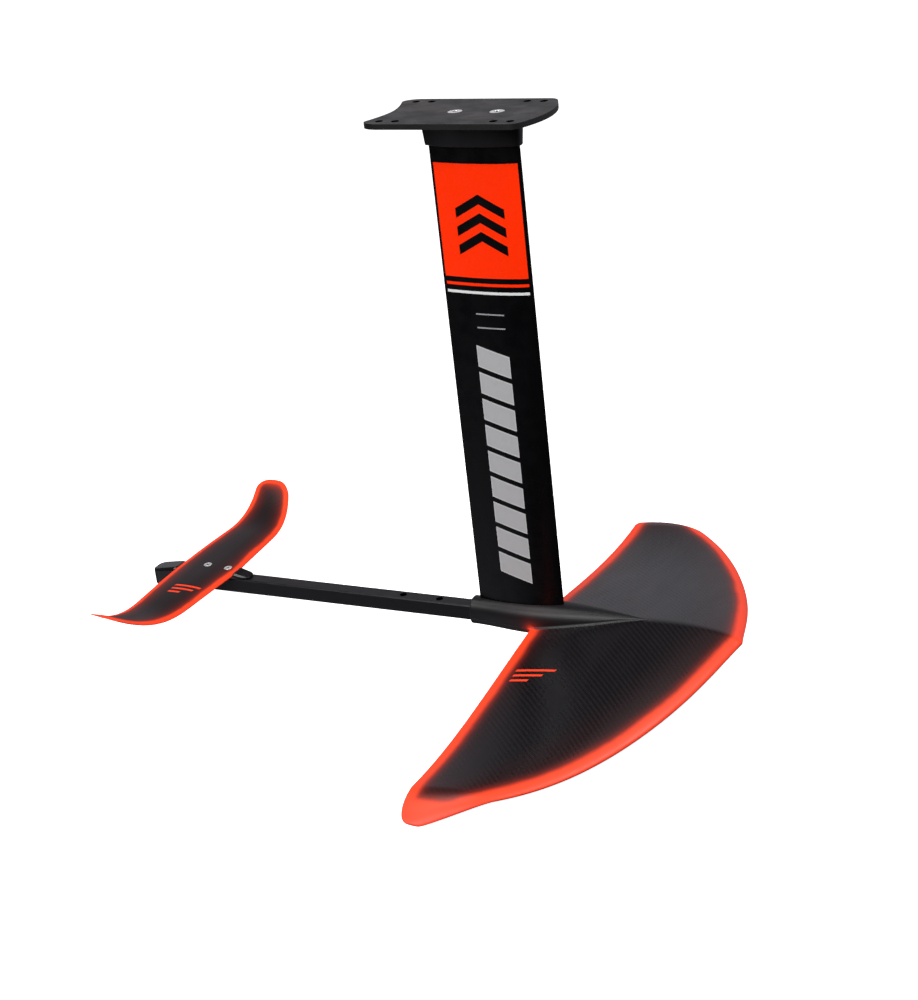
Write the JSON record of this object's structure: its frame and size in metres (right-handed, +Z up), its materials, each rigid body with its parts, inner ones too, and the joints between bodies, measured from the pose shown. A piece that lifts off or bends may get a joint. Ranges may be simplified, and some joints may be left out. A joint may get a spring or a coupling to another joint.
{
  "type": "hydrofoil mast and wing assembly",
  "caption": "Hydrofoil: flat board plate on a foil-section mast, bolted to a fuselage bar with a wide drooped front wing and a small rear wing with upturned tips.",
  "frame": {"origin": "on the board face of the top plate, midway between the two screws that hold the mast", "axes": "+X forward, +Y port, +Z up, out of the board face; the mast runs down along -Z"},
  "size_m": [0.7973, 0.7608, 0.6605],
  "materials": {
    "plate": "black hard anodised, scuffed matt",
    "anodised": "satin black anodised",
    "carbon": "carbon moulding, satin lacquer, orange sprayed edges",
    "gloss_black": "gloss black moulding",
    "stainless": "bright stainless steel"
  },
  "bodies": {
    "root": {"top_plate": "plate", "head_block": "anodised", "plate_screw_rear": "stainless", "plate_screw_front": "stainless", "mast_head_insert_rear": "stainless", "mast_head_insert_front": "stainless", "mast": "anodised", "mast_foot_insert_rear": "stainless", "mast_foot_insert_front": "stainless", "mast_bolt_rear": "stainless", "mast_bolt_front": "stainless", "mast_bolt_washer_rear": "stainless", "mast_bolt_washer_front": "stainless", "fuselage_bar": "anodised", "front_wing": "carbon", "wing_screw_rear": "stainless", "wing_screw_front": "stainless", "rear_wing": "carbon", "rear_wing_cradle": "gloss_black", "rear_wing_screw_rear": "stainless", "rear_wing_screw_front": "stainless", "tail_insert_rear": "stainless", "tail_insert_front": "stainless"}
  },
  "joints": []
}
